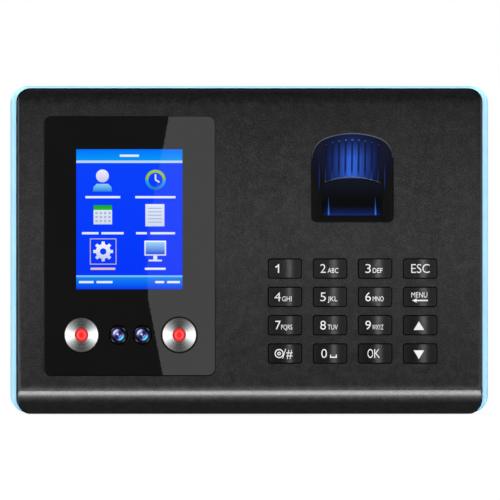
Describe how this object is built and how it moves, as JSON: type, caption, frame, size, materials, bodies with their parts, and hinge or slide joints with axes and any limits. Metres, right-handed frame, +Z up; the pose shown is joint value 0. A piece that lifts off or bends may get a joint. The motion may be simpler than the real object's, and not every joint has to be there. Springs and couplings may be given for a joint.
{
  "type": "fingerprint scanner terminal",
  "caption": "Wall-mounted terminal with a display, face cameras between infrared lights, a lit finger reader and a push-button keypad, on a steel wall bracket.",
  "frame": {"origin": "centre of the four wall screw holes, on the wall plane at the back", "axes": "+X to the user's right, +Z up, -Y out of the wall towards the user"},
  "size_m": [0.194, 0.0332, 0.133],
  "materials": {
    "housing_black": "fine speckled texture",
    "cover_black": "fine grain",
    "trim_blue": "satin light blue",
    "bracket_steel": "zinc plated",
    "screw_steel": "nickel plated",
    "lens_black": "high gloss",
    "foam_black": "foam tape",
    "gasket_black": "moulded seal",
    "screen_glass": "lit display",
    "white_plastic": "moulded",
    "grey_plastic": "moulded",
    "flex_amber": "polyimide film",
    "reflector_silver": "turned and polished",
    "led_red": "clear red epoxy",
    "camera_black": "moulded",
    "camera_glass": "coated glass",
    "board_green": "solder mask",
    "cable_grey": "insulation",
    "guide_black": "smooth black",
    "window_glass": "coated prism",
    "light_guide_blue": "clear blue",
    "ribbon_white": "film",
    "silicone_grey": "silicone",
    "chip_black": "moulded epoxy",
    "cell_steel": "stainless",
    "speaker_grey": "moulded",
    "socket_black": "moulded",
    "socket_metal": "plated",
    "key_gloss": "high gloss with printed legends"
  },
  "bodies": {
    "housing": {"front_shell": "housing_black", "back_cover": "cover_black", "trim_frame": "trim_blue", "trim_gasket": "gasket_black", "wall_bracket": "bracket_steel", "bracket_screw": "screw_steel", "housing_screws": "screw_steel", "board_screws": "screw_steel", "lens_panel": "lens_black", "lens_gasket": "foam_black", "lcd_panel": "screen_glass", "lcd_frame": "white_plastic", "lcd_holder": "grey_plastic", "lcd_flex": "flex_amber", "ir_reflector_left": "reflector_silver", "ir_reflector_right": "reflector_silver", "ir_led_left": "led_red", "ir_led_right": "led_red", "camera_barrel_left": "camera_black", "camera_barrel_right": "camera_black", "camera_lens_left": "camera_glass", "camera_lens_right": "camera_glass", "camera_board": "board_green", "camera_cable": "cable_grey", "finger_guide": "guide_black", "sensor_prism": "window_glass", "sensor_light_guides": "light_guide_blue", "sensor_housing": "camera_black", "sensor_board": "board_green", "sensor_ribbon": "ribbon_white", "keypad_membrane": "silicone_grey", "keypad_board": "board_green", "keypad_ribbon": "ribbon_white", "main_board": "board_green", "board_chips": "chip_black", "coin_cell_holder": "white_plastic", "coin_cell": "cell_steel", "speaker": "speaker_grey", "speaker_wires": "cable_grey", "dc_jack": "socket_black", "usb_port": "socket_metal"},
    "key_1_cap": {"key_1": "key_gloss"},
    "key_2_cap": {"key_2": "key_gloss"},
    "key_3_cap": {"key_3": "key_gloss"},
    "key_esc_cap": {"key_esc": "key_gloss"},
    "key_4_cap": {"key_4": "key_gloss"},
    "key_5_cap": {"key_5": "key_gloss"},
    "key_6_cap": {"key_6": "key_gloss"},
    "key_menu_cap": {"key_menu": "key_gloss"},
    "key_7_cap": {"key_7": "key_gloss"},
    "key_8_cap": {"key_8": "key_gloss"},
    "key_9_cap": {"key_9": "key_gloss"},
    "key_up_cap": {"key_up": "key_gloss"},
    "key_star_cap": {"key_star": "key_gloss"},
    "key_0_cap": {"key_0": "key_gloss"},
    "key_ok_cap": {"key_ok": "key_gloss"},
    "key_down_cap": {"key_down": "key_gloss"}
  },
  "joints": [
    {"name": "key_1_press", "type": "slide", "parent": "housing", "child": "key_1_cap", "axis": [0, 1, 0], "range_m": [0, 0.0009], "stiffness_N_per_m": 1100, "springref_m": -0.0002, "deforming": ["keypad_membrane"]},
    {"name": "key_2_press", "type": "slide", "parent": "housing", "child": "key_2_cap", "axis": [0, 1, 0], "range_m": [0, 0.0009], "stiffness_N_per_m": 1100, "springref_m": -0.0002, "deforming": ["keypad_membrane"]},
    {"name": "key_3_press", "type": "slide", "parent": "housing", "child": "key_3_cap", "axis": [0, 1, 0], "range_m": [0, 0.0009], "stiffness_N_per_m": 1100, "springref_m": -0.0002, "deforming": ["keypad_membrane"]},
    {"name": "key_esc_press", "type": "slide", "parent": "housing", "child": "key_esc_cap", "axis": [0, 1, 0], "range_m": [0, 0.0009], "stiffness_N_per_m": 1100, "springref_m": -0.0002, "deforming": ["keypad_membrane"]},
    {"name": "key_4_press", "type": "slide", "parent": "housing", "child": "key_4_cap", "axis": [0, 1, 0], "range_m": [0, 0.0009], "stiffness_N_per_m": 1100, "springref_m": -0.0002, "deforming": ["keypad_membrane"]},
    {"name": "key_5_press", "type": "slide", "parent": "housing", "child": "key_5_cap", "axis": [0, 1, 0], "range_m": [0, 0.0009], "stiffness_N_per_m": 1100, "springref_m": -0.0002, "deforming": ["keypad_membrane"]},
    {"name": "key_6_press", "type": "slide", "parent": "housing", "child": "key_6_cap", "axis": [0, 1, 0], "range_m": [0, 0.0009], "stiffness_N_per_m": 1100, "springref_m": -0.0002, "deforming": ["keypad_membrane"]},
    {"name": "key_menu_press", "type": "slide", "parent": "housing", "child": "key_menu_cap", "axis": [0, 1, 0], "range_m": [0, 0.0009], "stiffness_N_per_m": 1100, "springref_m": -0.0002, "deforming": ["keypad_membrane"]},
    {"name": "key_7_press", "type": "slide", "parent": "housing", "child": "key_7_cap", "axis": [0, 1, 0], "range_m": [0, 0.0009], "stiffness_N_per_m": 1100, "springref_m": -0.0002, "deforming": ["keypad_membrane"]},
    {"name": "key_8_press", "type": "slide", "parent": "housing", "child": "key_8_cap", "axis": [0, 1, 0], "range_m": [0, 0.0009], "stiffness_N_per_m": 1100, "springref_m": -0.0002, "deforming": ["keypad_membrane"]},
    {"name": "key_9_press", "type": "slide", "parent": "housing", "child": "key_9_cap", "axis": [0, 1, 0], "range_m": [0, 0.0009], "stiffness_N_per_m": 1100, "springref_m": -0.0002, "deforming": ["keypad_membrane"]},
    {"name": "key_up_press", "type": "slide", "parent": "housing", "child": "key_up_cap", "axis": [0, 1, 0], "range_m": [0, 0.0009], "stiffness_N_per_m": 1100, "springref_m": -0.0002, "deforming": ["keypad_membrane"]},
    {"name": "key_star_press", "type": "slide", "parent": "housing", "child": "key_star_cap", "axis": [0, 1, 0], "range_m": [0, 0.0009], "stiffness_N_per_m": 1100, "springref_m": -0.0002, "deforming": ["keypad_membrane"]},
    {"name": "key_0_press", "type": "slide", "parent": "housing", "child": "key_0_cap", "axis": [0, 1, 0], "range_m": [0, 0.0009], "stiffness_N_per_m": 1100, "springref_m": -0.0002, "deforming": ["keypad_membrane"]},
    {"name": "key_ok_press", "type": "slide", "parent": "housing", "child": "key_ok_cap", "axis": [0, 1, 0], "range_m": [0, 0.0009], "stiffness_N_per_m": 1100, "springref_m": -0.0002, "deforming": ["keypad_membrane"]},
    {"name": "key_down_press", "type": "slide", "parent": "housing", "child": "key_down_cap", "axis": [0, 1, 0], "range_m": [0, 0.0009], "stiffness_N_per_m": 1100, "springref_m": -0.0002, "deforming": ["keypad_membrane"]}
  ]
}
